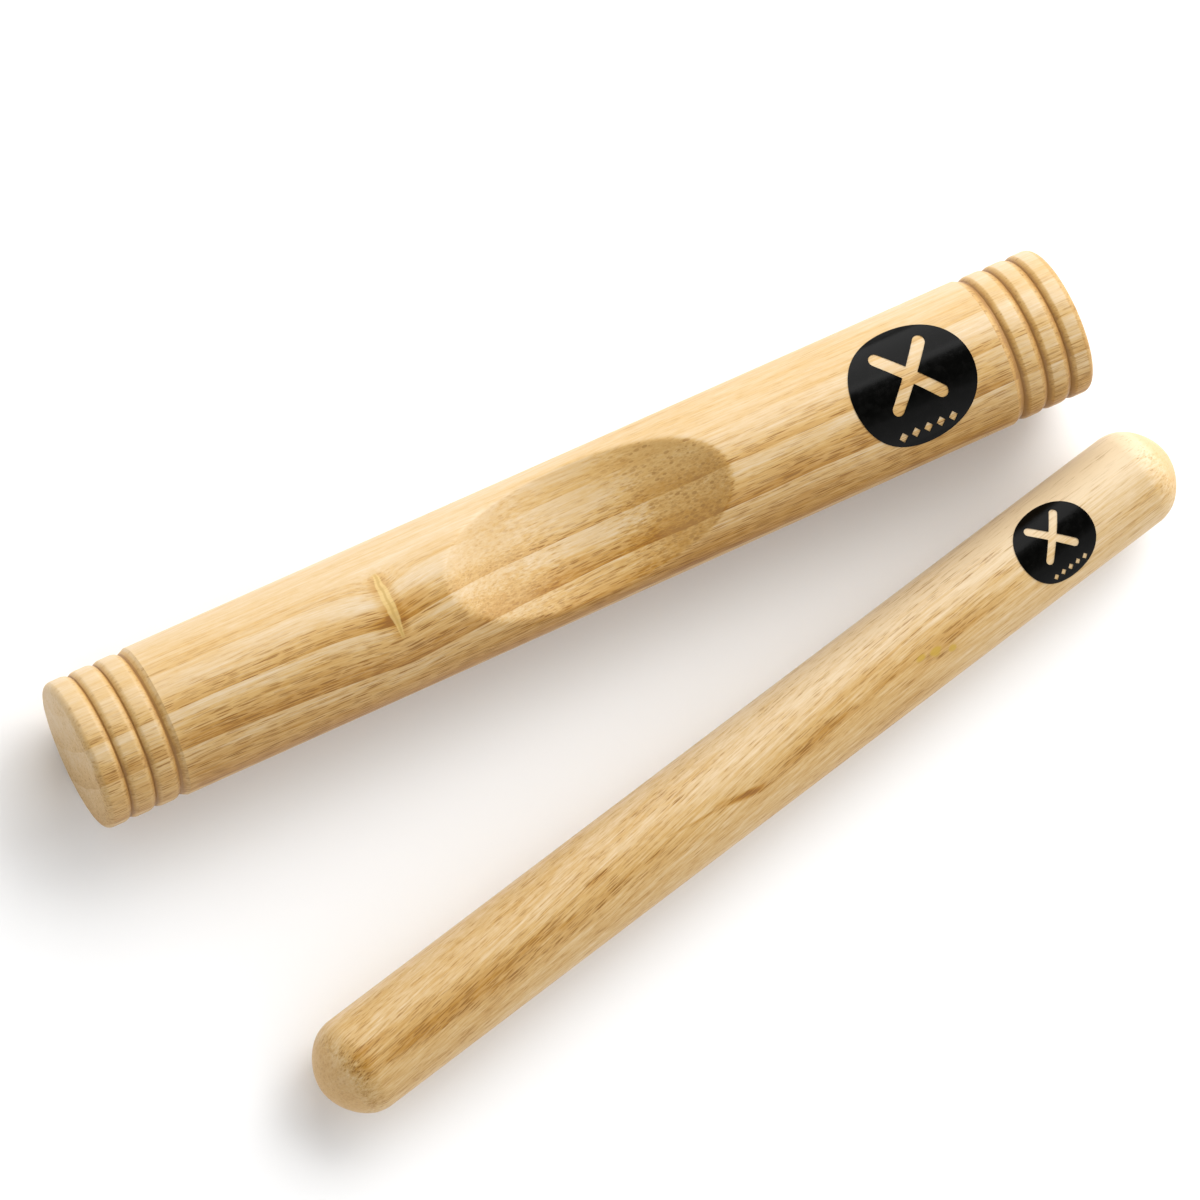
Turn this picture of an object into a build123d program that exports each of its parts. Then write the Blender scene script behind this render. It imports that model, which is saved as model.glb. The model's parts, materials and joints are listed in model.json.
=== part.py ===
from build123d import *
import math
import os

# A pair of claves lying on a flat surface, in millimetres, +Z up.
# The thick clave lies along X with its scoop facing up. The striker lies beside it, turned about Z.
# The origin is at the middle of the pair's footprint, on the surface that both lie on.

# thick clave
clave_length = 254.0
barrel_radius = 18.1

# turned beads at each end of the clave
bead_count = 3
bead_pitch = 6.15
bead_radius = 17.92
groove_depth = 0.78
bead_shoulder = 2.5
end_round = 1.8
barrel_bevel = 2.0

# scoop sanded straight across the middle of the clave by a drum
scoop_length = 70.5
scoop_depth = 9.0
scoop_rim_round = 0.5

# striker
striker_length = 250.0
striker_radius = 12.0
dome_depth = 10.7
dome_shoulder = 8.5

# where the striker lies, seen from the middle of the clave
striker_along = 17.1
striker_beside = 65.6
striker_turn = 12.34

# round foil badges, measured on the flat before they are wrapped on the wood
foil_thickness = 0.15
clave_badge_radius = 15.4
clave_badge_along = 83.6
striker_badge_radius = 10.1
striker_badge_along = 87.8

# crossed sticks and a row of diamonds left open in each badge, as shares of the badge's radius
stick_share = 1.3
stick_width_share = 0.19
stick_lean = 48.0
sticks_up_share = 0.14
diamond_count = 5
diamond_share = 0.075
diamond_spacing_share = 0.21
diamonds_down_share = 0.68


# each dome is a wide tip arc that meets the stick in a tighter shoulder arc
shoulder_height = striker_radius - dome_shoulder
dome_x = striker_length / 2 - dome_depth
tip_radius = (dome_depth**2 + shoulder_height**2 - dome_shoulder**2) / (2 * (dome_depth - dome_shoulder))
tip_x = striker_length / 2 - tip_radius
turn_x = math.cos(math.radians(striker_turn))
turn_y = math.sin(math.radians(striker_turn))

# the pair's footprint puts the origin in its middle
reach_x = tip_x * turn_x + tip_radius
reach_y = dome_x * turn_y + shoulder_height * turn_x + dome_shoulder
left_edge = min(-clave_length / 2, striker_along - reach_x)
right_edge = max(clave_length / 2, striker_along + reach_x)
front_edge = -striker_beside - reach_y
back_edge = barrel_radius
middle_x = (left_edge + right_edge) / 2
middle_y = (front_edge + back_edge) / 2

clave_centre = Vector(-middle_x, -middle_y, barrel_radius)
striker_centre = Vector(striker_along - middle_x, -striker_beside - middle_y, striker_radius)
clave_plane = Plane(origin=clave_centre, x_dir=(1, 0, 0), z_dir=(0, 0, 1))
striker_plane = Plane(origin=striker_centre, x_dir=(turn_x, turn_y, 0), z_dir=(0, 0, 1))


def stick_axis(plane):
    return Axis(plane.origin, plane.x_dir)


def cross_plane(plane, along):
    """The plane square to a stick, a distance along it from its middle."""
    return Plane(origin=plane.origin + plane.x_dir * along, x_dir=plane.y_dir, z_dir=plane.x_dir)


def wrapped_circle(badge_radius, stick_radius):
    """The outline, seen from above, of a flat round badge that is wrapped on a stick."""
    outline = []
    for step in range(24):
        angle = math.tau * step / 24
        around = badge_radius * math.sin(angle) / stick_radius
        outline.append((badge_radius * math.cos(angle), stick_radius * math.sin(around)))
    return outline


def make_badge(plane, along, badge_radius, stick_radius):
    """A thin curved foil on top of a stick, with crossed sticks and a row of diamonds cut through it."""
    badge_centre = plane.origin + plane.x_dir * along
    with BuildPart() as badge:
        with BuildSketch(Plane(origin=badge_centre, x_dir=plane.x_dir, z_dir=plane.z_dir)):
            with BuildLine():
                Spline(*wrapped_circle(badge_radius, stick_radius), periodic=True)
            make_face()
            with Locations((0, sticks_up_share * badge_radius)):
                for lean in (stick_lean, -stick_lean):
                    SlotOverall(
                        stick_share * badge_radius,
                        stick_width_share * badge_radius,
                        rotation=lean,
                        mode=Mode.SUBTRACT,
                    )
            with Locations((0, -diamonds_down_share * badge_radius)):
                with GridLocations(diamond_spacing_share * badge_radius, 1, diamond_count, 1):
                    RegularPolygon(diamond_share * badge_radius, 4, mode=Mode.SUBTRACT)
        extrude(amount=2 * stick_radius)
        with BuildSketch(cross_plane(plane, along - 2 * badge_radius)):
            Circle(stick_radius + foil_thickness)
            Circle(stick_radius, mode=Mode.SUBTRACT)
        extrude(amount=4 * badge_radius, mode=Mode.INTERSECT)
    return badge


os.makedirs("parts", exist_ok=True)

# thick clave: half of its outline is drawn from the end face to the middle, then mirrored
groove_radius = bead_radius - groove_depth
shoulder_run = math.sqrt(2 * bead_shoulder * groove_depth - groove_depth**2)
end_x = -clave_length / 2
last_groove_x = end_x + bead_count * bead_pitch
drum_radius = (scoop_length**2 / 4 + scoop_depth**2) / (2 * scoop_depth)

with BuildPart() as clave_body:
    with BuildSketch(clave_plane):
        with BuildLine():
            Line((end_x, 0), (end_x, bead_radius - end_round))
            RadiusArc((end_x, bead_radius - end_round), (end_x + end_round, bead_radius), end_round)
            crest_start = end_x + end_round
            for bead in range(bead_count):
                groove_x = end_x + (bead + 1) * bead_pitch
                crest_end = groove_x - shoulder_run
                Line((crest_start, bead_radius), (crest_end, bead_radius))
                RadiusArc((crest_end, bead_radius), (groove_x, groove_radius), bead_shoulder)
                crest_start = groove_x + shoulder_run
                if bead < bead_count - 1:
                    RadiusArc((groove_x, groove_radius), (crest_start, bead_radius), bead_shoulder)
            Line((last_groove_x, groove_radius), (last_groove_x + barrel_bevel, barrel_radius))
            Line((last_groove_x + barrel_bevel, barrel_radius), (0, barrel_radius))
            mirror(about=Plane.YZ)
            Line((end_x, 0), (-end_x, 0))
        make_face()
    revolve(axis=stick_axis(clave_plane))
    with BuildSketch(Plane(origin=clave_centre, x_dir=(1, 0, 0), z_dir=(0, -1, 0))):
        with Locations((0, barrel_radius - scoop_depth + drum_radius)):
            Circle(drum_radius)
    extrude(amount=2 * barrel_radius, both=True, mode=Mode.SUBTRACT)
    scoop_rim = clave_body.edges().filter_by(
        lambda edge: edge.geom_type not in (GeomType.LINE, GeomType.CIRCLE)
    )
    fillet(scoop_rim, scoop_rim_round)
clave_body.part.label = "clave_body"
export_step(clave_body.part, "parts/clave_body.step")

# striker: half of its outline is drawn from the middle to the tip, then mirrored
joint_angle = math.degrees(math.atan2(shoulder_height, tip_radius - dome_depth))
with BuildPart() as striker_body:
    with BuildSketch(striker_plane):
        with BuildLine():
            Line((0, striker_radius), (dome_x, striker_radius))
            CenterArc((dome_x, shoulder_height), dome_shoulder, joint_angle, 90 - joint_angle)
            CenterArc((tip_x, 0), tip_radius, 0, joint_angle)
            mirror(about=Plane.YZ)
            Line((-striker_length / 2, 0), (striker_length / 2, 0))
        make_face()
    revolve(axis=stick_axis(striker_plane))
striker_body.part.label = "striker_body"
export_step(striker_body.part, "parts/striker_body.step")

# badges
clave_badge = make_badge(clave_plane, clave_badge_along, clave_badge_radius, barrel_radius)
clave_badge.part.label = "clave_badge"
export_step(clave_badge.part, "parts/clave_badge.step")

striker_badge = make_badge(striker_plane, striker_badge_along, striker_badge_radius, striker_radius)
striker_badge.part.label = "striker_badge"
export_step(striker_badge.part, "parts/striker_badge.step")
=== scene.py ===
import json
import math
import bmesh
import bpy
from mathutils import Matrix, Vector


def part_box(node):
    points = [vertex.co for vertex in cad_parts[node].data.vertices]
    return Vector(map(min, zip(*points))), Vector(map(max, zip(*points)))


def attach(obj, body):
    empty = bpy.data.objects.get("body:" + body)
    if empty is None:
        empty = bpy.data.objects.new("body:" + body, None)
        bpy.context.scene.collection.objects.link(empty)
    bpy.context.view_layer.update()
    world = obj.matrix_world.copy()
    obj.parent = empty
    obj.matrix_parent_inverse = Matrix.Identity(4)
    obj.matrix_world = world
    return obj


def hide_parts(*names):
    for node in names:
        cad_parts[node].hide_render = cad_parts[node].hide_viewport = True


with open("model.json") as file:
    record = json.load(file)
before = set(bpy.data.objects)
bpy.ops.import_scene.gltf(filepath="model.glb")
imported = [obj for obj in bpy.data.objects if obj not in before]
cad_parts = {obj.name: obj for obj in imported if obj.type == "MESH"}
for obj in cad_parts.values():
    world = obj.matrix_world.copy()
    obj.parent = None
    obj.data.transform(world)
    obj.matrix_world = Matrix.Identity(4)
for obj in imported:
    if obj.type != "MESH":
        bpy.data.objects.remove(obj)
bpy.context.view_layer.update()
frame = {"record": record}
scene = bpy.context.scene

millimetre = 0.001
weldDistance = 1e-6

# where the two sticks lie, read from the frame
shank = next(mount for mount in frame["record"]["mounts"] if mount["name"] == "striker_shank")


def readPlace(node, axis):
    low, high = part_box(node)
    return {
        "centre": (low + high) / 2,
        "radius": (high.z - low.z) / 2,
        "turn": math.atan2(axis[1], axis[0]),
        "axis": Vector(axis),
    }


clavePlace = readPlace("clave_body", (1, 0, 0))
strikerPlace = readPlace("striker_body", (-shank["axis"][0], -shank["axis"][1], 0))
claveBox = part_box("clave_body")
claveLength = claveBox[1].x - claveBox[0].x
print("frame loaded, clave length", round(claveLength, 4))


# shapes

def addPiece(name, mesh):
    piece = bpy.data.objects.new(name, mesh)
    scene.collection.objects.link(piece)
    return piece


def dropPiece(piece):
    mesh = piece.data
    bpy.data.objects.remove(piece)
    bpy.data.meshes.remove(mesh)


def finishStack(piece):
    depsgraph = bpy.context.evaluated_depsgraph_get()
    made = bpy.data.meshes.new_from_object(piece.evaluated_get(depsgraph))
    piece.modifiers.clear()
    rough = piece.data
    piece.data = made
    bpy.data.meshes.remove(rough)


def cleanMesh(piece, crispAngle, crispWhere):
    # seams and poles are closed, normals point out, and real edges stay crisp under smooth shading
    form = bmesh.new()
    form.from_mesh(piece.data)
    bmesh.ops.remove_doubles(form, verts=form.verts, dist=weldDistance)
    bmesh.ops.recalc_face_normals(form, faces=form.faces)
    for face in form.faces:
        face.smooth = True
    for edge in form.edges:
        middle = (edge.verts[0].co + edge.verts[1].co) / 2
        edge.smooth = not (crispWhere(middle) and edge.calc_face_angle(0) > crispAngle)
    form.to_mesh(piece.data)
    form.free()


def stickMatrix(place):
    # a shape turned about its own Z lies down along the stick
    lieDown = Matrix.Rotation(math.pi / 2, 4, "Y")
    return Matrix.Translation(place["centre"]) @ Matrix.Rotation(place["turn"], 4, "Z") @ lieDown


def turnedStick(name, corners, halfLength, stations, place, steps, roundSteps):
    # corners run from the tip inwards as (radius, depth, rounding); the other end mirrors them
    outline = [(radius, halfLength - depth, soft) for radius, depth, soft in corners]
    outline += [(corners[-1][0], station, 0.0) for station in stations]
    outline += [(radius, depth - halfLength, soft) for radius, depth, soft in reversed(corners)]
    widest = max(soft for radius, height, soft in outline)
    mesh = bpy.data.meshes.new(name)
    mesh.from_pydata(
        [(radius, 0, height) for radius, height, soft in outline],
        [(index, index + 1) for index in range(len(outline) - 1)],
        [],
    )
    weights = mesh.attributes.new("bevel_weight_vert", "FLOAT", "POINT")
    for entry, (radius, height, soft) in zip(weights.data, outline):
        entry.value = soft / widest
    piece = addPiece(name, mesh)
    rounding = piece.modifiers.new("rounding", "BEVEL")
    rounding.affect = "VERTICES"
    rounding.limit_method = "WEIGHT"
    rounding.width = widest
    rounding.segments = roundSteps
    rounding.use_clamp_overlap = False
    turning = piece.modifiers.new("turning", "SCREW")
    turning.steps = turning.render_steps = steps
    turning.use_merge_vertices = True
    turning.merge_threshold = weldDistance
    finishStack(piece)
    piece.data.transform(stickMatrix(place))
    return piece


# thick clave: beads turned at both ends, scoop sanded across the middle

claveTurning = {
    "beads": 3,
    "beadPitch": 0.00615,
    "crestRadius": 0.01792,
    "grooveDepth": 0.00078,
    "shoulderGap": 0.00074,  # from a groove to the corner that is rounded into a bead's shoulder
    "shoulderRound": 0.00102,
    "endRound": 0.0018,
    "barrelBevel": 0.002,
    "roundSteps": 8,
    "turnSteps": 240,
    "crispAngle": math.radians(15),
}
scoopCut = {
    "length": 0.0705,
    "depth": 0.009,
    "rimEase": 0.0009,
    "stationGap": 0.0006,
    "stationReach": 0.039,
}


def beadedEnd(turning, barrelRadius):
    # corners from the middle of the end face inwards, as (radius, depth, rounding)
    crest, gap, soft = turning["crestRadius"], turning["shoulderGap"], turning["shoulderRound"]
    corners = [(0.0, 0.0, 0.0), (crest, 0.0, turning["endRound"])]
    for bead in range(turning["beads"]):
        groove = (bead + 1) * turning["beadPitch"]
        corners.append((crest, groove - gap, soft))
        corners.append((crest - turning["grooveDepth"], groove, 0.0))
        if bead < turning["beads"] - 1:
            corners.append((crest, groove + gap, soft))
    corners.append((barrelRadius, groove + turning["barrelBevel"], 0.0))
    return corners


def easedLower(first, second, ease):
    # the lower of two heights, with the corner between them rounded over
    share = min(max(0.5 + 0.5 * (second - first) / ease, 0), 1)
    return second * (1 - share) + first * share - ease * share * (1 - share)


def sandScoop(piece, cut, place):
    # the drum of a sander, lying across the clave, leaves the scoop
    drumRadius = (cut["length"] ** 2 / 4 + cut["depth"] ** 2) / (2 * cut["depth"])
    drumHeight = place["centre"].z + place["radius"] - cut["depth"] + drumRadius
    for vertex in piece.data.vertices:
        along = vertex.co.x - place["centre"].x
        if abs(along) < cut["stationReach"] and vertex.co.z > place["centre"].z:
            floorHeight = drumHeight - math.sqrt(drumRadius ** 2 - along ** 2)
            vertex.co.z = easedLower(vertex.co.z, floorHeight, cut["rimEase"])


reach, gap = scoopCut["stationReach"], scoopCut["stationGap"]
claveBody = turnedStick(
    "claveBody",
    beadedEnd(claveTurning, clavePlace["radius"]),
    claveLength / 2,
    [reach - step * gap for step in range(2 * round(reach / gap) + 1)],
    clavePlace,
    claveTurning["turnSteps"],
    claveTurning["roundSteps"],
)
sandScoop(claveBody, scoopCut, clavePlace)
cleanMesh(
    claveBody,
    claveTurning["crispAngle"],
    lambda point: abs(point.x - clavePlace["centre"].x) > scoopCut["stationReach"],
)
print("clave turned and scooped:", len(claveBody.data.polygons), "faces")


# striker: a plain stick whose domed ends have a wide tip and a tighter shoulder

strikerTurning = {
    "domeDepth": 0.0107,
    "domeShoulder": 0.0085,
    "roundingShare": 0.998,  # just short of all, so two roundings never meet in one point
    "roundSteps": 24,
    "turnSteps": 192,
    "crispAngle": math.radians(40),
}


def domedEnd(turning, radius):
    # two corners that are rounded into the tip and the shoulder, as (radius, depth, rounding)
    depth, shoulder = turning["domeDepth"], turning["domeShoulder"]
    high = radius - shoulder
    tipRadius = (depth ** 2 + high ** 2 - shoulder ** 2) / (2 * (depth - shoulder))
    meeting = math.atan2(high, tipRadius - depth)
    tip = tipRadius * math.tan(meeting / 2)
    side = shoulder * math.tan((math.pi / 2 - meeting) / 2)
    share = turning["roundingShare"]
    return [
        (0.0, 0.0, 0.0),
        (tip, 0.0, share * tip),
        (radius, depth - side, share * side),
        (radius, depth, 0.0),
    ]


shankLength = shank["dims"]["length_mm"] * millimetre
strikerBody = turnedStick(
    "strikerBody",
    domedEnd(strikerTurning, strikerPlace["radius"]),
    shankLength / 2 + strikerTurning["domeDepth"],
    [],
    strikerPlace,
    strikerTurning["turnSteps"],
    strikerTurning["roundSteps"],
)
cleanMesh(strikerBody, strikerTurning["crispAngle"], lambda point: True)
print("striker turned:", len(strikerBody.data.polygons), "faces")


# foil badges: a thin curved strip, cut to a wrapped circle, with crossed sticks and diamonds open in it

badgeCut = {
    "thickness": 0.00015,
    "stickShare": 1.3,
    "stickWidthShare": 0.19,
    "stickLean": math.radians(48),
    "sticksUpShare": 0.14,
    "diamonds": 5,
    "diamondShare": 0.075,
    "diamondSpacingShare": 0.21,
    "diamondsDownShare": 0.68,
    "outlineSteps": 160,
    "barEndSteps": 14,
    "stripReach": 1.1,  # half length of the strip, in badge radii
    "cutterReach": 1.5,  # height of the cutters, in stick radii
    "stripAngle": math.radians(130),
    "stripSteps": 200,
    "crispAngle": math.radians(30),
}


def wrappedCircle(badgeRadius, stickRadius, steps):
    outline = []
    for step in range(steps):
        angle = math.tau * step / steps
        across = stickRadius * math.sin(badgeRadius * math.sin(angle) / stickRadius)
        outline.append(Vector((badgeRadius * math.cos(angle), across)))
    return outline


def roundedBar(length, width, lean, steps):
    reach, cap = (length - width) / 2, width / 2
    outline = []
    for side in (1, -1):
        for step in range(steps + 1):
            angle = math.pi * (step / steps - 0.5)
            outline.append(Vector((side * (reach + cap * math.cos(angle)), side * cap * math.sin(angle))))
    turn = Matrix.Rotation(lean, 2)
    return [turn @ point for point in outline]


def diamond(size):
    return [Vector((size, 0)), Vector((0, size)), Vector((-size, 0)), Vector((0, -size))]


def cutter(name, outlines, place, along):
    # upright prisms over the stick, one for each outline, for a Boolean to cut with
    points, faces = [], []
    reach = badgeCut["cutterReach"] * place["radius"]
    for outline in outlines:
        first, count = len(points), len(outline)
        points += [(point.x + along, point.y, 0) for point in outline]
        points += [(point.x + along, point.y, reach) for point in outline]
        faces.append([first + index for index in reversed(range(count))])
        faces.append([first + count + index for index in range(count)])
        for index in range(count):
            after = (index + 1) % count
            faces.append([first + index, first + after, first + count + after, first + count + index])
    mesh = bpy.data.meshes.new(name)
    mesh.from_pydata(points, [], faces)
    mesh.transform(Matrix.Translation(place["centre"]) @ Matrix.Rotation(place["turn"], 4, "Z"))
    return addPiece(name, mesh)


def makeBadge(name, place, along, badgeRadius):
    cut = badgeCut
    half = cut["stripReach"] * badgeRadius
    mesh = bpy.data.meshes.new(name)
    mesh.from_pydata([(place["radius"], 0, half), (place["radius"], 0, -half)], [(0, 1)], [])
    badge = addPiece(name, mesh)
    screw = badge.modifiers.new("wrap", "SCREW")
    screw.angle = cut["stripAngle"]
    screw.steps = screw.render_steps = cut["stripSteps"]
    foil = badge.modifiers.new("foil", "SOLIDIFY")
    foil.thickness = cut["thickness"]
    foil.offset = 1
    finishStack(badge)
    upright = Matrix.Rotation(math.pi - cut["stripAngle"] / 2, 4, "Z")
    badge.data.transform(stickMatrix(place) @ Matrix.Translation((0, 0, along)) @ upright)

    bars = []
    for lean in (cut["stickLean"], -cut["stickLean"]):
        bar = roundedBar(
            cut["stickShare"] * badgeRadius, cut["stickWidthShare"] * badgeRadius, lean, cut["barEndSteps"]
        )
        bars.append([point + Vector((0, cut["sticksUpShare"] * badgeRadius)) for point in bar])
    row = []
    for index in range(cut["diamonds"]):
        offset = (index - (cut["diamonds"] - 1) / 2) * cut["diamondSpacingShare"] * badgeRadius
        shift = Vector((offset, -cut["diamondsDownShare"] * badgeRadius))
        row.append([point + shift for point in diamond(cut["diamondShare"] * badgeRadius)])

    circle = wrappedCircle(badgeRadius, place["radius"], cut["outlineSteps"])
    cutters = [("INTERSECT", cutter("discCutter", [circle], place, along))]
    for index, outlines in enumerate(([bars[0]], [bars[1]], row)):
        cutters.append(("DIFFERENCE", cutter("motifCutter" + str(index), outlines, place, along)))
    for operation, tool in cutters:
        boolean = badge.modifiers.new("cut", "BOOLEAN")
        boolean.operation = operation
        boolean.solver = "EXACT"
        boolean.object = tool
    finishStack(badge)
    for operation, tool in cutters:
        dropPiece(tool)
    cleanMesh(badge, cut["crispAngle"], lambda point: True)
    return badge


def badgeSpot(node, place):
    # how far along the stick a badge sits, and its radius, from its CAD box
    low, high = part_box(node)
    along = ((low + high) / 2 - place["centre"]).dot(place["axis"])
    return along, (high.x - low.x) / 2


claveBadgeAlong, claveBadgeRadius = badgeSpot("clave_badge", clavePlace)
strikerBadgeAlong, strikerBadgeRadius = badgeSpot("striker_badge", strikerPlace)
claveBadge = makeBadge("claveBadge", clavePlace, claveBadgeAlong, claveBadgeRadius)
strikerBadge = makeBadge("strikerBadge", strikerPlace, strikerBadgeAlong, strikerBadgeRadius)
print("badges cut:", len(claveBadge.data.polygons), len(strikerBadge.data.polygons), "faces")


# node helpers

def addNode(tree, kind, **settings):
    made = tree.nodes.new(kind)
    for name, value in settings.items():
        setattr(made, name, value)
    return made


def feed(tree, socket, value):
    if isinstance(value, bpy.types.NodeSocket):
        tree.links.new(value, socket)
    elif value is not None:
        socket.default_value = value


def calc(tree, operation, first, second=None, third=None, clamp=False):
    made = addNode(tree, "ShaderNodeMath", operation=operation, use_clamp=clamp)
    for socket, value in zip(made.inputs, (first, second, third)):
        feed(tree, socket, value)
    return made.outputs[0]


def vectorCalc(tree, operation, first, second=None, output="Vector"):
    made = addNode(tree, "ShaderNodeVectorMath", operation=operation)
    feed(tree, made.inputs[0], first)
    feed(tree, made.inputs[1], second)
    return made.outputs[output]


def splitPoint(tree, point):
    made = addNode(tree, "ShaderNodeSeparateXYZ")
    feed(tree, made.inputs[0], point)
    return made.outputs


def joinPoint(tree, along, side, height):
    made = addNode(tree, "ShaderNodeCombineXYZ")
    for socket, value in zip(made.inputs, (along, side, height)):
        feed(tree, socket, value)
    return made.outputs[0]


def ease(tree, value, low, high, toLow=0.0, toHigh=1.0):
    # a smooth step: low gives toLow, high gives toHigh, and low may be above high
    made = addNode(tree, "ShaderNodeMapRange", interpolation_type="SMOOTHSTEP")
    feed(tree, made.inputs["Value"], value)
    feed(tree, made.inputs["From Min"], low)
    feed(tree, made.inputs["From Max"], high)
    feed(tree, made.inputs["To Min"], toLow)
    feed(tree, made.inputs["To Max"], toHigh)
    return made.outputs["Result"]


def product(tree, *values):
    made = values[0]
    for value in values[1:]:
        made = calc(tree, "MULTIPLY", made, value)
    return made


def noise(tree, point, stretch, detail, roughness):
    made = addNode(tree, "ShaderNodeTexNoise")
    feed(tree, made.inputs["Vector"], vectorCalc(tree, "MULTIPLY", point, stretch))
    feed(tree, made.inputs["Scale"], 1.0)
    feed(tree, made.inputs["Detail"], detail)
    feed(tree, made.inputs["Roughness"], roughness)
    return made.outputs["Fac"]


def mixColour(tree, factor, first, second):
    made = addNode(tree, "ShaderNodeMix", data_type="RGBA")
    feed(tree, made.inputs[0], factor)
    feed(tree, made.inputs[6], first)
    feed(tree, made.inputs[7], second)
    return made.outputs[2]


def ramp(tree, factor, stops):
    made = addNode(tree, "ShaderNodeValToRGB")
    band = made.color_ramp
    while len(band.elements) < len(stops):
        band.elements.new(0.5)
    for element, (position, colour) in zip(band.elements, stops):
        element.position = position
        element.color = (*colour, 1)
    feed(tree, made.inputs[0], factor)
    return made.outputs["Color"]


def newGroup(name, inputs, outputs):
    tree = bpy.data.node_groups.new(name, "ShaderNodeTree")
    for label, value in inputs.items():
        kind = "NodeSocketVector" if isinstance(value, tuple) else "NodeSocketFloat"
        socket = tree.interface.new_socket(label, in_out="INPUT", socket_type=kind)
        socket.default_value = value
    for label in outputs:
        tree.interface.new_socket(label, in_out="OUTPUT", socket_type="NodeSocketFloat")
    given = addNode(tree, "NodeGroupInput").outputs
    result = addNode(tree, "NodeGroupOutput").inputs
    return tree, given, result


def useGroup(tree, group, output, **values):
    made = addNode(tree, "ShaderNodeGroup", node_tree=group)
    for label, value in values.items():
        feed(tree, made.inputs[label.replace("_", " ")], value)
    return made.outputs[output] if output else made.outputs


# shared effects, all in millimetres with X along the grain

knotDipShape = {
    "reach": 11.5,  # millimetres along the grain, where the knot crosses the top
    "reachBySide": -0.7,
    "leastReach": 4.0,
    "tip": 0.06,
    "heights": (0.0, 10.0),  # the dip grows from the first to the second
    "sides": (13.0, 8.5),
}
grainNoise = {  # stretch for each millimetre along and across the grain, detail, roughness
    "waver": ((0.016, 0.06, 0.06), 2.0, 0.5),
    "fine": ((0.08, 2.2, 2.2), 5.0, 0.65),
    "coarse": ((0.02, 0.6, 0.6), 3.0, 0.6),
    "drift": ((0.013, 0.17, 0.17), 3.0, 0.55),
    "mottle": ((0.35, 0.9, 0.9), 3.0, 0.6),
    "ragged": ((0.13, 0.9, 0.9), 3.0, 0.5),
    "knotEdge": ((0.25, 0.45, 0.25), 3.0, 0.5),
}
fineFibreShare = 0.7  # the rest is coarse fibre


def growthRingGroup():
    # Ring is the distance across the growth rings, Tone runs from pale to dark within each ring
    tree, given, result = newGroup(
        "growthRings",
        {
            "Point": (0.0, 0.0, 0.0), "Pith Side": 84.0, "Pith Height": 13.0, "Spacing": 9.0,
            "Lean": 0.0, "Waver": 1.0, "Knot Along": 0.0, "Knot Dip": 0.0,
        },
        ["Ring", "Tone"],
    )
    along, side, height = splitPoint(tree, given["Point"])
    # rings dip round a knot, sharply above it and widely below
    shape = knotDipShape
    reach = calc(tree, "MULTIPLY_ADD", side, shape["reachBySide"], shape["reach"])
    reach = calc(tree, "MAXIMUM", reach, shape["leastReach"])
    offset = calc(tree, "SUBTRACT", along, given["Knot Along"])
    offset = calc(tree, "DIVIDE", offset, reach)
    offset = calc(tree, "SQRT", calc(tree, "MULTIPLY_ADD", offset, offset, shape["tip"]))
    dip = calc(tree, "EXPONENT", calc(tree, "MULTIPLY", offset, -1.0))
    dip = product(
        tree, dip, ease(tree, height, *shape["heights"]), ease(tree, side, *shape["sides"]), given["Knot Dip"]
    )
    acrossPith = addNode(tree, "ShaderNodeCombineXYZ")
    feed(tree, acrossPith.inputs[1], calc(tree, "SUBTRACT", side, given["Pith Side"]))
    feed(tree, acrossPith.inputs[2], calc(tree, "SUBTRACT", height, given["Pith Height"]))
    ring = vectorCalc(tree, "LENGTH", acrossPith.outputs[0], output="Value")
    waver = calc(tree, "SUBTRACT", noise(tree, given["Point"], *grainNoise["waver"]), 0.5)
    ring = calc(tree, "SUBTRACT", ring, given["Pith Side"])
    ring = calc(tree, "SUBTRACT", ring, dip)
    ring = calc(tree, "MULTIPLY_ADD", waver, given["Waver"], ring)
    ring = calc(tree, "SUBTRACT", ring, calc(tree, "MULTIPLY", along, given["Lean"]))
    share = calc(tree, "FRACT", calc(tree, "DIVIDE", ring, given["Spacing"]))
    feed(tree, result["Ring"], ring)
    feed(tree, result["Tone"], calc(tree, "MINIMUM", share, ease(tree, share, 0.985, 1.0, 1.0, 0.0)))
    return tree


def poreGroup():
    # open vessels: short dark dashes along the grain
    tree, given, result = newGroup(
        "poreDashes",
        {"Point": (0.0, 0.0, 0.0), "Length": 6.0, "Width": 0.55, "Size": 0.3, "Share": 0.6, "Seed": 0.0},
        ["Mask"],
    )
    cell = addNode(tree, "ShaderNodeCombineXYZ")
    feed(tree, cell.inputs[0], given["Length"])
    feed(tree, cell.inputs[1], given["Width"])
    feed(tree, cell.inputs[2], given["Width"])
    point = vectorCalc(tree, "DIVIDE", given["Point"], cell.outputs[0])
    point = vectorCalc(tree, "ADD", point, given["Seed"])
    cells = addNode(tree, "ShaderNodeTexVoronoi", voronoi_dimensions="3D", feature="F1")
    feed(tree, cells.inputs["Vector"], point)
    feed(tree, cells.inputs["Scale"], 1.0)
    chance = addNode(tree, "ShaderNodeSeparateColor")
    feed(tree, chance.inputs[0], cells.outputs["Color"])
    kept = calc(tree, "LESS_THAN", chance.outputs[0], given["Share"])
    size = calc(tree, "MULTIPLY", given["Size"], calc(tree, "MULTIPLY_ADD", chance.outputs[1], 0.6, 0.6))
    spot = ease(tree, cells.outputs["Distance"], calc(tree, "MULTIPLY", size, 0.65), size, 1.0, 0.0)
    strength = calc(tree, "MULTIPLY_ADD", chance.outputs[2], 0.6, 0.4)
    feed(tree, result["Mask"], product(tree, spot, kept, strength))
    return tree


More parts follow.
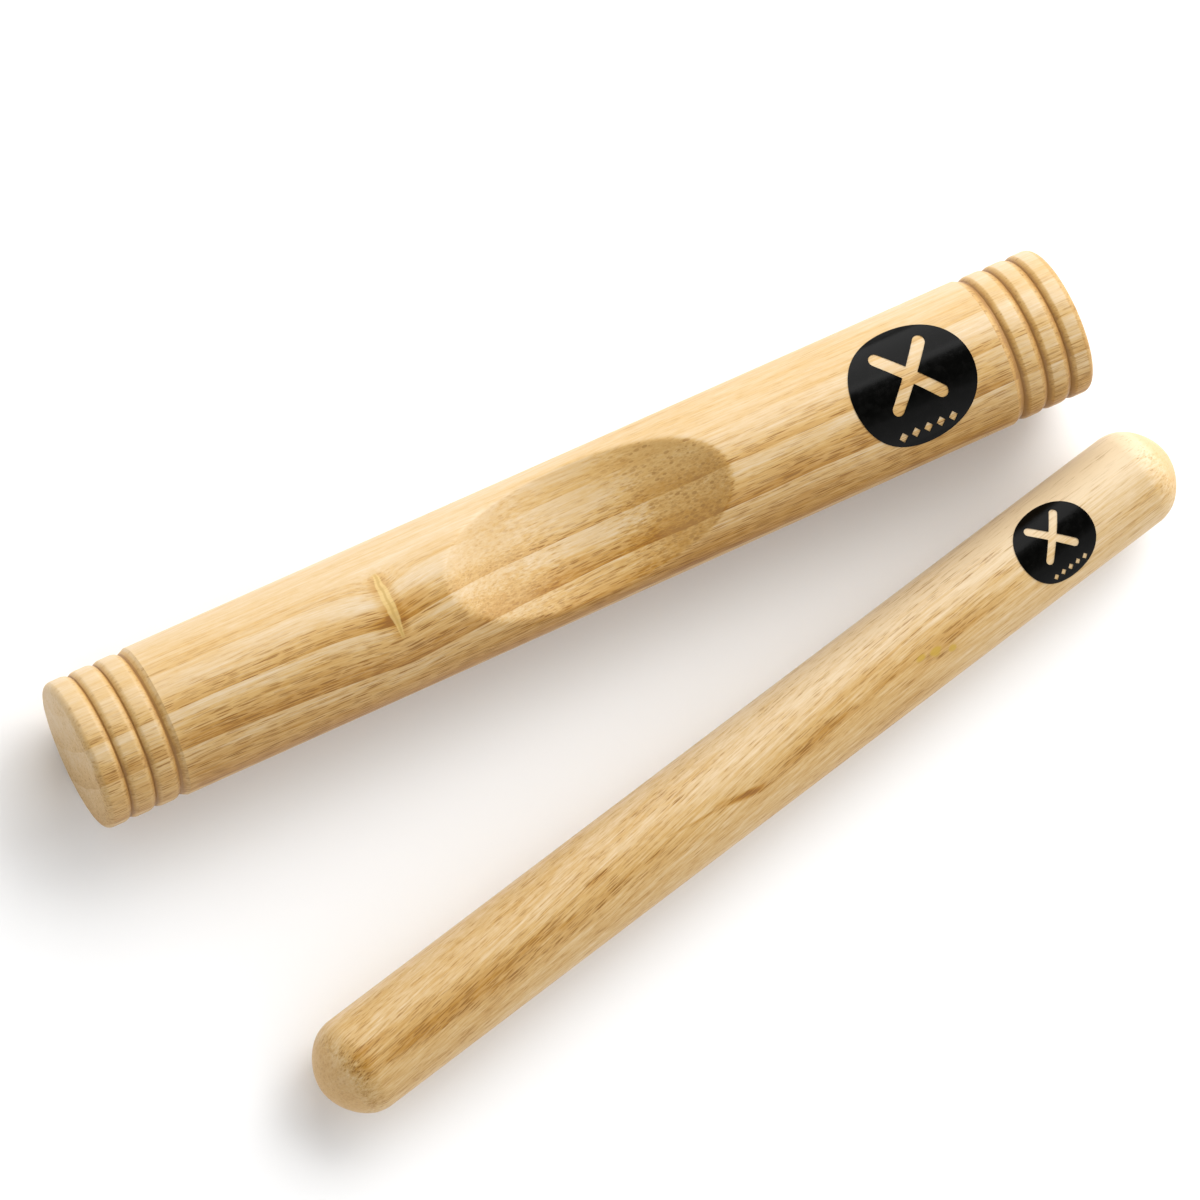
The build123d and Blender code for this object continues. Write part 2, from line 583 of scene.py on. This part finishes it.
def fibreGroup():
    # fine fibre lines, broad drifts of tone and a soft mottle, all stretched along the grain
    tree, given, result = newGroup("woodFibre", {"Point": (0.0, 0.0, 0.0)}, ["Fibre", "Drift", "Mottle"])
    fine = noise(tree, given["Point"], *grainNoise["fine"])
    coarse = noise(tree, given["Point"], *grainNoise["coarse"])
    coarse = calc(tree, "MULTIPLY", coarse, 1 - fineFibreShare)
    feed(tree, result["Fibre"], calc(tree, "MULTIPLY_ADD", fine, fineFibreShare, coarse))
    feed(tree, result["Drift"], noise(tree, given["Point"], *grainNoise["drift"]))
    feed(tree, result["Mottle"], noise(tree, given["Point"], *grainNoise["mottle"]))
    return tree


def cutGrainGroup():
    # where the surface cuts across the grain the open vessels show as dots
    tree, given, result = newGroup(
        "cutGrain",
        {
            "Point": (0.0, 0.0, 0.0), "Normal": (0.0, 0.0, 1.0), "Axis": (1.0, 0.0, 0.0),
            "Start": 0.05, "Full": 0.3,
        },
        ["Cut", "Dots"],
    )
    facing = vectorCalc(tree, "DOT_PRODUCT", given["Normal"], given["Axis"], output="Value")
    cut = ease(tree, calc(tree, "ABSOLUTE", facing), given["Start"], given["Full"])
    dots = useGroup(
        tree, poreDashes, "Mask", Point=given["Point"],
        Length=2.0, Width=0.8, Size=0.46, Share=0.75, Seed=21.0,
    )
    feed(tree, result["Cut"], cut)
    feed(tree, result["Dots"], calc(tree, "MULTIPLY", cut, dots))
    return tree


def streakGroup():
    # one soft-edged streak or blot, stretched along the grain and turned a little
    tree, given, result = newGroup(
        "softStreak",
        {
            "Point": (0.0, 0.0, 0.0), "Centre": (0.0, 0.0, 0.0), "Half": (10.0, 2.0, 4.0), "Turn": 0.0,
            "Ragged": 0.4, "Core": 0.3,
        },
        ["Mask"],
    )
    local = vectorCalc(tree, "SUBTRACT", given["Point"], given["Centre"])
    turned = addNode(tree, "ShaderNodeVectorRotate", rotation_type="Z_AXIS")
    feed(tree, turned.inputs["Vector"], local)
    feed(tree, turned.inputs["Angle"], given["Turn"])
    distance = vectorCalc(tree, "DIVIDE", turned.outputs[0], given["Half"])
    distance = vectorCalc(tree, "LENGTH", distance, output="Value")
    rag = calc(tree, "SUBTRACT", noise(tree, given["Point"], *grainNoise["ragged"]), 0.5)
    distance = calc(tree, "MULTIPLY_ADD", rag, given["Ragged"], distance)
    feed(tree, result["Mask"], ease(tree, distance, given["Core"], 1.0, 1.0, 0.0))
    return tree


growthRings = growthRingGroup()
poreDashes = poreGroup()
woodFibre = fibreGroup()
cutGrain = cutGrainGroup()
softStreak = streakGroup()


def stickPoint(tree, place):
    # object coordinates in millimetres, measured from the middle of the stick, X along its grain
    given = addNode(tree, "ShaderNodeTexCoord")
    local = addNode(tree, "ShaderNodeMapping", vector_type="TEXTURE")
    feed(tree, local.inputs["Vector"], given.outputs["Object"])
    feed(tree, local.inputs["Location"], place["centre"])
    feed(tree, local.inputs["Rotation"], (0, 0, place["turn"]))
    feed(tree, local.inputs["Scale"], (millimetre,) * 3)
    return local.outputs["Vector"], given.outputs["Normal"]


def newMaterial(name):
    material = bpy.data.materials.new(name)
    material.use_nodes = True
    tree = material.node_tree
    return material, tree, tree.nodes["Principled BSDF"]


def addShare(tree, tone, amount, share, middle=0.0):
    # adds a share of a mask, or of its distance from a middle value, to a tone
    if middle:
        amount = calc(tree, "SUBTRACT", amount, middle)
    return calc(tree, "MULTIPLY_ADD", amount, share, tone)


grainFinish = {"fibreRough": 0.14, "poreRough": 0.2, "fibreRelief": 0.35, "poreRelief": -1.0}


def openVessels(tree, grain, wood):
    # long vessels, and fainter fine ones between them
    longPores = useGroup(tree, poreDashes, "Mask", Point=grain, **wood["longPores"])
    finePores = useGroup(tree, poreDashes, "Mask", Point=grain, **wood["finePores"])
    return calc(tree, "MAXIMUM", longPores, calc(tree, "MULTIPLY", finePores, wood["fineStrength"]))


def finishWood(tree, surface, wood, tone, marks, fibre, cut):
    # colour from the tone, darkened in the marks, then a satin coat and a fine open grain
    colour = ramp(tree, tone, [(stop, wood[name]) for stop, name in wood["stops"]])
    colour = mixColour(tree, marks, colour, (*wood["pore"], 1))
    endGrain = ease(tree, cut["Cut"], 0.5, 1.0, 0.0, wood["endTint"])
    colour = mixColour(tree, endGrain, colour, (*wood["endGrain"], 1))
    rough = calc(tree, "MULTIPLY_ADD", fibre, grainFinish["fibreRough"], wood["roughness"])
    rough = calc(tree, "MULTIPLY_ADD", marks, grainFinish["poreRough"], rough)
    relief = calc(tree, "MULTIPLY", marks, grainFinish["poreRelief"])
    relief = calc(tree, "MULTIPLY_ADD", fibre, grainFinish["fibreRelief"], relief)
    bump = addNode(tree, "ShaderNodeBump")
    feed(tree, bump.inputs["Height"], relief)
    feed(tree, bump.inputs["Strength"], wood["bumpStrength"])
    feed(tree, bump.inputs["Distance"], wood["bumpDistance"])
    feed(tree, surface.inputs["Roughness"], rough)
    feed(tree, surface.inputs["Normal"], bump.outputs[0])
    feed(tree, surface.inputs["Specular IOR Level"], wood["specular"])
    feed(tree, surface.inputs["Coat Weight"], wood["coat"])
    feed(tree, surface.inputs["Coat Roughness"], wood["coatRoughness"])
    return colour


claveWood = {
    "pale": (0.605, 0.484, 0.325),
    "honey": (0.53, 0.338, 0.125),
    "brown": (0.385, 0.188, 0.028),
    "deep": (0.25, 0.098, 0.011),
    "endGrain": (0.46, 0.29, 0.105),
    "pore": (0.215, 0.09, 0.012),
    "stops": [(0.0, "pale"), (0.38, "honey"), (0.78, "brown"), (1.0, "deep")],
    "endTint": 0.3,
    "roughness": 0.42,
    "specular": 0.28,
    "coat": 0.22,
    "coatRoughness": 0.34,
    "bumpStrength": 0.3,
    "bumpDistance": 0.00006,
    # shares that each effect adds to the tone, 0 pale to 1 deep
    "baseTone": 0.2,
    "ringShare": 0.4,
    "lowerSideShare": 0.15,
    "driftShare": 0.52,
    "mottleShare": 0.2,
    # painted shade on the scoop's slope that faces away from the light
    "scoopShadeShares": (-0.02, 0.24),  # at its left and at its right
    "rings": {"Spacing": 9.0, "Lean": 0.002, "Waver": 2.2},
    "ringFade": 1.7,  # how late in a ring the dark late wood comes
    "longPores": {"Length": 6.4, "Width": 0.41, "Size": 0.48, "Share": 0.75, "Seed": 3.0},
    "finePores": {"Length": 4.6, "Width": 0.35, "Size": 0.46, "Share": 0.78, "Seed": 9.0},
    "fineStrength": 0.75,
    "knot": (-49.8, 2.4),  # along and across, in millimetres
    "knotHalf": 8.3,
    "knotDip": 3.4,
    "knotRimShare": 0.24,
    "knotYellowShare": 0.62,
    "knotCoreShare": 0.6,
    "knotYellow": (0.64, 0.46, 0.17),
    "knotCore": (0.40, 0.245, 0.055),
    "knotClouds": [  # centre, half size, share added to the tone
        ((-47.0, -2.5, 17.0), (16.0, 6.5, 9.0), 0.12),
        ((-44.8, 2.4, 17.0), (6.5, 5.0, 9.0), 0.2),
        ((-52.6, -0.9, 17.0), (4.5, 2.6, 9.0), 0.24),
        ((-52.5, 6.0, 17.0), (3.5, 3.0, 9.0), 0.12),
    ],
    "beadStretch": (102.0, 108.0),  # out from the middle, where the barrel's figure softens into the beads
    "grooves": (104.0, 125.0),  # out from the middle, where painted shade darkens the turned grooves
    "grooveWallShade": (17.5, 17.9, 0.35),  # from and to this far from the axis, and the share of painted shade
    # the same painted shade, deepest on the groove floors
    "grooveFloorShade": (17.2, 17.5, 0.8),
}


def makeClaveWood():
    wood = claveWood
    material, tree, surface = newMaterial("claveWood")
    point, normal = stickPoint(tree, clavePlace)
    along, side, height = splitPoint(tree, point)
    outward = calc(tree, "ABSOLUTE", along)
    rings = useGroup(
        tree, growthRings, None, Point=point,
        Knot_Along=wood["knot"][0], Knot_Dip=wood["knotDip"], **wood["rings"],
    )
    grain = joinPoint(tree, along, rings["Ring"], height)
    figure = useGroup(tree, woodFibre, None, Point=grain)
    cut = useGroup(tree, cutGrain, None, Point=point, Normal=normal, Axis=clavePlace["axis"])

    # dark late wood ends each ring, plainer on the far side and on the beads
    lateWood = calc(tree, "POWER", rings["Tone"], wood["ringFade"])
    ringContrast = ease(tree, side, 14.0, -9.0, 0.25, 1.3)
    beadContrast = ease(tree, outward, *wood["beadStretch"], 1.0, 0.6)
    lateWood = product(tree, lateWood, ringContrast, beadContrast)
    tone = addShare(tree, wood["baseTone"], lateWood, wood["ringShare"])
    tone = addShare(tree, tone, ease(tree, side, 4.0, -14.0), wood["lowerSideShare"])
    fibreContrast = ease(tree, side, 12.0, -7.0, 0.85, 1.6)
    beadContrast = ease(tree, outward, *wood["beadStretch"], 1.0, 0.7)
    fibre = product(tree, calc(tree, "SUBTRACT", figure["Fibre"], 0.5), fibreContrast, beadContrast)
    tone = addShare(tree, tone, fibre, 1.0)
    tone = addShare(tree, tone, figure["Drift"], wood["driftShare"], 0.5)
    tone = addShare(tree, tone, figure["Mottle"], wood["mottleShare"], 0.5)
    # painted shade: the sanded scoop is pale where its slope faces the badge, and painted darker towards the
    # badge, where its slope faces away from the light
    scoopShade = ease(tree, along, -20.0, 25.0, *wood["scoopShadeShares"])
    tone = addShare(tree, tone, calc(tree, "MULTIPLY", cut["Cut"], scoopShade), 1.0)

    # a small knot lies across the top, with darker wood round it
    wander = calc(tree, "SUBTRACT", noise(tree, point, *grainNoise["knotEdge"]), 0.5)
    fromKnot = calc(tree, "ADD", wander, calc(tree, "SUBTRACT", along, wood["knot"][0]))
    fromKnot = calc(tree, "ABSOLUTE", fromKnot)
    knotShare = calc(tree, "DIVIDE", calc(tree, "SUBTRACT", side, wood["knot"][1]), wood["knotHalf"])
    knotShare = calc(tree, "ABSOLUTE", knotShare)
    knotLong = product(tree, ease(tree, knotShare, 0.85, 1.02, 1.0, 0.0), ease(tree, height, 4.0, 8.0))
    knotWide = ease(tree, knotShare, 0.3, 1.0, 1.15, 0.5)
    knotWide = calc(tree, "MULTIPLY", knotWide, ease(tree, side, -5.0, 9.0, 0.8, 1.15))
    outside = calc(tree, "SUBTRACT", fromKnot, knotWide)
    knotInside = calc(tree, "MULTIPLY", ease(tree, outside, -0.2, 0.15, 1.0, 0.0), knotLong)
    knotCore = calc(tree, "MULTIPLY", ease(tree, fromKnot, 0.1, 0.5, 1.0, 0.0), knotLong)
    knotRim = calc(tree, "MULTIPLY", ease(tree, outside, 0.1, 2.4, 1.0, 0.0), knotLong)
    tone = addShare(tree, tone, knotRim, wood["knotRimShare"])
    for centre, half, share in wood["knotClouds"]:
        cloud = useGroup(
            tree, softStreak, "Mask", Point=point, Centre=centre, Half=half, Ragged=0.9, Core=0.1
        )
        tone = addShare(tree, tone, cloud, share)

    # open vessels crowd into the dark wood, and show as dots in the scoop and on the ends
    crowd = ease(tree, tone, 0.16, 0.55, 0.1, 1.0)
    sideCrowd = ease(tree, side, 13.0, 1.0, 0.45, 1.0)
    uncut = calc(tree, "MULTIPLY_ADD", cut["Cut"], -0.4, 1.0)
    pores = product(tree, openVessels(tree, grain, wood), crowd, sideCrowd, uncut)
    spread = ease(tree, along, -30.0, 15.0, 0.4, 1.0)
    spread = calc(tree, "MAXIMUM", spread, ease(tree, along, -80.0, -110.0))
    dots = product(tree, cut["Dots"], ease(tree, tone, 0.1, 0.5, 0.2, 0.85), spread)
    marks = calc(tree, "MAXIMUM", pores, dots, clamp=True)

    # painted shade: the turned grooves are darkened, most on their floors, where shade falls in the recess
    fromAxis = vectorCalc(tree, "LENGTH", joinPoint(tree, 0.0, side, height), output="Value")
    low, high = wood["grooves"]
    groove = ease(tree, outward, low, low + 1.0)
    groove = calc(tree, "MULTIPLY", groove, ease(tree, outward, high - 1.0, high, 1.0, 0.0))
    for bottom, top, share in (wood["grooveWallShade"], wood["grooveFloorShade"]):
        grooveShade = calc(tree, "MULTIPLY", groove, ease(tree, fromAxis, bottom, top, share, 0.0))
        tone = addShare(tree, tone, grooveShade, 1.0)

    colour = finishWood(tree, surface, wood, tone, marks, figure["Fibre"], cut)
    yellow = calc(tree, "MULTIPLY", knotInside, wood["knotYellowShare"])
    colour = mixColour(tree, yellow, colour, (*wood["knotYellow"], 1))
    core = calc(tree, "MULTIPLY", knotCore, wood["knotCoreShare"])
    colour = mixColour(tree, core, colour, (*wood["knotCore"], 1))
    feed(tree, surface.inputs["Base Color"], colour)
    return material


strikerWood = {
    "pale": (0.65, 0.51, 0.325),
    "honey": (0.53, 0.338, 0.125),
    "brown": (0.385, 0.188, 0.028),
    "deep": (0.25, 0.098, 0.011),
    "endGrain": (0.56, 0.345, 0.135),
    "pore": (0.215, 0.09, 0.012),
    "stops": [(0.0, "pale"), (0.38, "honey"), (0.78, "brown"), (1.0, "deep")],
    "endTint": 0.6,
    "roughness": 0.42,
    "specular": 0.28,
    "coat": 0.22,
    "coatRoughness": 0.34,
    "bumpStrength": 0.3,
    "bumpDistance": 0.00006,
    "grainSlope": 0.115,
    "grainStraight": 45.0,  # where along the stick the sloping grain runs straight again
    "grainBend": 30.0,  # how long the bend into the straight grain is
    # shares that each effect adds to the tone, 0 pale to 1 deep
    "baseTone": 0.3,
    "fibreShare": 1.4,
    "driftShare": 0.5,
    "mottleShare": 0.25,
    # the upper side's and the right end's shares are painted light
    "paintedLightUpperShare": -0.27,
    "lowerSideShare": 0.12,
    "paintedLightEndShare": -0.12,
    "leftDomeShare": 0.05,
    "longPores": {"Length": 6.0, "Width": 0.42, "Size": 0.5, "Share": 0.82, "Seed": 5.0},
    "finePores": {"Length": 4.0, "Width": 0.33, "Size": 0.46, "Share": 0.8, "Seed": 14.0},
    "fineStrength": 0.9,
    "figure": [  # streaks and blots: centre, half size, turn in degrees, share added to the tone
        ((-88.0, -1.2, 11.0), (40.0, 5.6, 7.0), -2, 0.3),
        ((-102.0, -1.8, 11.0), (22.0, 2.6, 7.0), -4, 0.12),
        ((-110.0, 2.6, 11.0), (9.0, 1.6, 7.0), 0, 0.2),
        ((-116.0, 0.8, 9.0), (4.5, 7.0, 8.0), 0, 0.32),
        ((-44.0, -0.5, 11.0), (42.0, 4.8, 7.0), 4, 0.18),
        ((-46.5, 2.1, 11.5), (5.5, 1.5, 4.0), 0, 0.2),
        ((-8.0, -3.1, 11.0), (8.5, 1.3, 4.0), -13, 0.55),
        ((-20.0, -1.4, 11.0), (13.0, 0.5, 3.0), -8, 0.3),
        ((14.0, -2.9, 11.0), (30.0, 2.9, 6.0), 3, 0.32),
        ((30.0, 1.2, 11.0), (34.0, 1.8, 6.0), 5, 0.16),
        ((56.0, -2.2, 11.0), (32.0, 3.4, 6.0), 0, 0.22),
    ],
    "spotColour": (0.46, 0.29, 0.03),
    "spotShare": 0.8,
    "spots": [  # centre, half size
        ((45.4, -2.6, 11.6), (1.9, 0.9, 2.5)),
        ((49.2, -3.5, 11.4), (1.9, 1.3, 2.5)),
        ((53.2, -5.3, 10.8), (1.3, 1.0, 2.5)),
    ],
}


def makeStrikerWood():
    wood = strikerWood
    material, tree, surface = newMaterial("strikerWood")
    point, normal = stickPoint(tree, strikerPlace)
    along, side, height = splitPoint(tree, point)
    # the grain slopes across the stick and straightens towards the badge
    beyond = calc(tree, "SUBTRACT", along, wood["grainStraight"])
    bend = calc(tree, "SQRT", calc(tree, "MULTIPLY_ADD", beyond, beyond, wood["grainBend"] ** 2))
    bend = calc(tree, "MULTIPLY", calc(tree, "SUBTRACT", beyond, bend), wood["grainSlope"] / 2)
    grain = joinPoint(tree, along, calc(tree, "SUBTRACT", side, bend), height)
    figure = useGroup(tree, woodFibre, None, Point=grain)
    cut = useGroup(
        tree, cutGrain, None, Point=point, Normal=normal, Axis=strikerPlace["axis"], Start=0.25, Full=0.8
    )

    tone = addShare(tree, wood["baseTone"], figure["Fibre"], wood["fibreShare"], 0.5)
    tone = addShare(tree, tone, figure["Drift"], wood["driftShare"], 0.5)
    tone = addShare(tree, tone, figure["Mottle"], wood["mottleShare"], 0.5)
    for centre, half, turn, share in wood["figure"]:
        streak = useGroup(
            tree, softStreak, "Mask", Point=point, Centre=centre, Half=half, Turn=-math.radians(turn),
            Ragged=0.8, Core=0.15,
        )
        tone = addShare(tree, tone, streak, share)
    # open vessels crowd into the streaks, before the tone along the sides and the end is added
    crowd = ease(tree, tone, 0.26, 0.58, 0.08, 1.0)
    # painted light: paler along the upper side and towards the badge, where the clave keeps light off the
    # striker
    paintedUpperLight = calc(tree, "MULTIPLY", ease(tree, side, -1.0, 9.0), ease(tree, along, -80.0, 60.0))
    tone = addShare(tree, tone, paintedUpperLight, wood["paintedLightUpperShare"])
    tone = addShare(tree, tone, ease(tree, side, 2.0, -9.0), wood["lowerSideShare"])
    tone = addShare(tree, tone, ease(tree, along, 40.0, 100.0), wood["paintedLightEndShare"])
    # darker, harder end grain on the left dome
    leftDome = calc(tree, "MULTIPLY", cut["Cut"], ease(tree, along, 0.0, -60.0))
    tone = addShare(tree, tone, leftDome, wood["leftDomeShare"])

    pores = calc(tree, "MULTIPLY", openVessels(tree, grain, wood), crowd)
    dots = calc(tree, "MULTIPLY", cut["Dots"], ease(tree, along, 40.0, -60.0, 0.15, 0.5))
    marks = calc(tree, "MAXIMUM", pores, dots, clamp=True)

    colour = finishWood(tree, surface, wood, tone, marks, figure["Fibre"], cut)
    for centre, half in wood["spots"]:
        spot = useGroup(tree, softStreak, "Mask", Point=point, Centre=centre, Half=half, Ragged=0.8, Core=0.5)
        spot = calc(tree, "MULTIPLY", spot, wood["spotShare"])
        colour = mixColour(tree, spot, colour, (*wood["spotColour"], 1))
    feed(tree, surface.inputs["Base Color"], colour)
    return material


badgeFoil = {
    "black": (0.0015, 0.0015, 0.0013),
    "worn": (0.003, 0.003, 0.0026),
    "smooth": 0.12,
    "dull": 0.22,
    "specular": 0.08,
    "cloudScale": (500.0, 500.0, 500.0),
    "rubScale": (300.0, 2600.0, 2600.0),
    "bumpStrength": 0.08,
    "bumpDistance": 0.00003,
}


def makeBadgeFoil():
    foil = badgeFoil
    material, tree, surface = newMaterial("badgeFoil")
    given = addNode(tree, "ShaderNodeTexCoord")
    cloud = noise(tree, given.outputs["Object"], foil["cloudScale"], 4.0, 0.6)
    rub = noise(tree, given.outputs["Object"], foil["rubScale"], 2.0, 0.5)
    colour = mixColour(tree, ease(tree, cloud, 0.4, 0.75), (*foil["black"], 1), (*foil["worn"], 1))
    feed(tree, surface.inputs["Base Color"], colour)
    rough = calc(tree, "MULTIPLY_ADD", rub, 0.3, calc(tree, "MULTIPLY", cloud, 0.7))
    feed(tree, surface.inputs["Roughness"], ease(tree, rough, 0.3, 0.75, foil["smooth"], foil["dull"]))
    feed(tree, surface.inputs["Specular IOR Level"], foil["specular"])
    bump = addNode(tree, "ShaderNodeBump")
    feed(tree, bump.inputs["Height"], rub)
    feed(tree, bump.inputs["Strength"], foil["bumpStrength"])
    feed(tree, bump.inputs["Distance"], foil["bumpDistance"])
    feed(tree, surface.inputs["Normal"], bump.outputs[0])
    return material


claveBody.data.materials.append(makeClaveWood())
strikerBody.data.materials.append(makeStrikerWood())
foil = makeBadgeFoil()
claveBadge.data.materials.append(foil)
strikerBadge.data.materials.append(foil)
print("materials made")


# pieces ride on their bodies and stand for their CAD nodes

for piece, body, node, slot in (
    (claveBody, "clave", "clave_body", "clave_wood"),
    (claveBadge, "clave", "clave_badge", "badge_foil"),
    (strikerBody, "striker", "striker_body", "striker_wood"),
    (strikerBadge, "striker", "striker_badge", "badge_foil"),
):
    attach(piece, body)
    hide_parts(node)


# studio: pale floor, soft panels, camera

studio = {
    "floorSize": 12.0,
    "floorColour": (0.93, 0.93, 0.93),
    "floorRoughness": 0.8,
    "skyLevel": 1.14,
    "panels": [
        {"name": "key", "azimuth": 52, "height": 34, "distance": 2.0, "size": 2.0, "strength": 1.0},
        {"name": "end", "azimuth": 18, "height": 38, "distance": 2.1, "size": 2.0, "strength": 0.6},
        {"name": "fill", "azimuth": -60, "height": 30, "distance": 2.0, "size": 1.8, "strength": 0.16},
    ],
}


def addPanel(panel):
    light = bpy.data.lights.new(panel["name"], "AREA")
    light.size = panel["size"]
    light.energy = panel["strength"] * (math.pi * panel["distance"]) ** 2
    lamp = bpy.data.objects.new(panel["name"], light)
    scene.collection.objects.link(lamp)
    azimuth, height = math.radians(panel["azimuth"]), math.radians(panel["height"])
    flat = math.cos(height)
    towards = Vector((flat * math.cos(azimuth), flat * math.sin(azimuth), math.sin(height)))
    lamp.location = towards * panel["distance"]
    lamp.rotation_mode = "QUATERNION"
    lamp.rotation_quaternion = towards.to_track_quat("Z", "Y")


for panel in studio["panels"]:
    addPanel(panel)

floorMesh = bpy.data.meshes.new("floor")
edge = studio["floorSize"] / 2
floorCorners = [(-edge, -edge, 0), (edge, -edge, 0), (edge, edge, 0), (-edge, edge, 0)]
floorMesh.from_pydata(floorCorners, [], [(0, 1, 2, 3)])
floor = addPiece("floor", floorMesh)
floorPaint, floorTree, floorSurface = newMaterial("floorPaint")
feed(floorTree, floorSurface.inputs["Base Color"], (*studio["floorColour"], 1))
feed(floorTree, floorSurface.inputs["Roughness"], studio["floorRoughness"])
floorMesh.materials.append(floorPaint)

# the air is bright round the horizon and dark straight overhead, like a tent with a camera hole
world = bpy.data.worlds.new("studioAir")
world.use_nodes = True
air = world.node_tree
lookUp = addNode(air, "ShaderNodeSeparateXYZ")
feed(air, lookUp.inputs[0], addNode(air, "ShaderNodeTexCoord").outputs["Generated"])
tent = ramp(
    air, lookUp.outputs[2],
    [(0.0, (1.0,) * 3), (0.3, (0.95,) * 3), (0.82, (0.42,) * 3), (0.87, (0.36,) * 3), (0.93, (0.03,) * 3)],
)
feed(air, air.nodes["Background"].inputs["Color"], tent)
feed(air, air.nodes["Background"].inputs["Strength"], studio["skyLevel"])
scene.world = world
scene.view_settings.view_transform = "Standard"
scene.view_settings.look = "None"

cameraSet = {
    "aim": (-0.00675, 0.02588, 0.018),
    "distance": 1.95778,
    "back": (-0.23048, 0.00820, 0.97304),
    "up": (0.39777, 0.91340, 0.08652),
    "lens": 255.98,
    "sensor": 36.0,
}
lens = bpy.data.cameras.new("camera")
lens.lens = cameraSet["lens"]
lens.sensor_width = cameraSet["sensor"]
camera = bpy.data.objects.new("camera", lens)
scene.collection.objects.link(camera)
back = Vector(cameraSet["back"]).normalized()
right = Vector(cameraSet["up"]).cross(back).normalized()
up = back.cross(right)
turn = Matrix((right, up, back)).transposed().to_4x4()
camera.matrix_world = Matrix.Translation(Vector(cameraSet["aim"]) + back * cameraSet["distance"]) @ turn
scene.camera = camera
print("studio ready")
